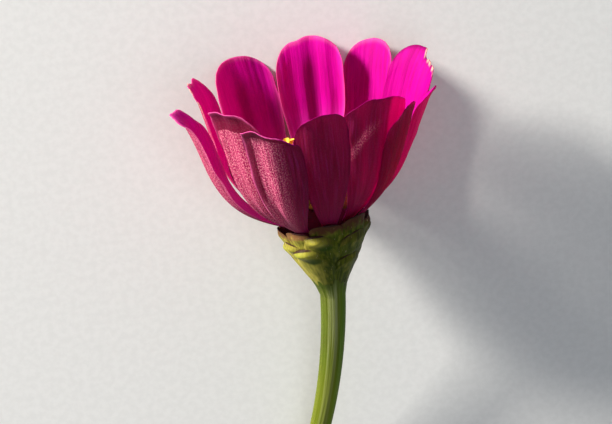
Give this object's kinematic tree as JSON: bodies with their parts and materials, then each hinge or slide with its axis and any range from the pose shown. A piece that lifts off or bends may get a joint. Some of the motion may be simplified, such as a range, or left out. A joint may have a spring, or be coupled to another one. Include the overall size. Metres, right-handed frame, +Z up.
{
  "type": "zinnia flower",
  "caption": "Cut zinnia bloom lying on its side: a cup of magenta ray petals over a green scaly cup of bracts, yellow florets inside, on a short curved stem.",
  "frame": {"origin": "centre of the bounding box's base, on the surface that the bloom lies on", "axes": "+Z up; +Y along the bloom, from the stem's cut end to the open blossom; +X to the blossom's right, seen from above with the blossom pointing away"},
  "size_m": [0.0446, 0.0824, 0.0373],
  "materials": {
    "petal": "matte",
    "bract": "satin",
    "stem": "satin",
    "floret": "matte",
    "dome": "matte"
  },
  "bodies": {
    "root": {"stem": "stem", "disc_dome": "dome", "disc_floret_01": "floret", "disc_floret_02": "floret", "disc_floret_03": "floret", "disc_floret_04": "floret", "disc_floret_05": "floret", "disc_floret_06": "floret", "disc_floret_07": "floret", "disc_floret_08": "floret", "disc_floret_09": "floret", "ray_petal_01": "petal", "ray_petal_02": "petal", "ray_petal_03": "petal", "ray_petal_04": "petal", "ray_petal_05": "petal", "ray_petal_06": "petal", "ray_petal_07": "petal", "ray_petal_08": "petal", "ray_petal_09": "petal", "ray_petal_10": "petal", "ray_petal_11": "petal", "ray_petal_12": "petal", "outer_bract_01": "bract", "outer_bract_02": "bract", "outer_bract_03": "bract", "outer_bract_04": "bract", "outer_bract_05": "bract", "middle_bract_01": "bract", "middle_bract_02": "bract", "middle_bract_03": "bract", "middle_bract_04": "bract", "middle_bract_05": "bract", "middle_bract_06": "bract", "middle_bract_07": "bract", "inner_bract_01": "bract", "inner_bract_02": "bract", "inner_bract_03": "bract", "inner_bract_04": "bract", "inner_bract_05": "bract", "inner_bract_06": "bract", "inner_bract_07": "bract", "inner_bract_08": "bract", "inner_bract_09": "bract"}
  },
  "joints": []
}
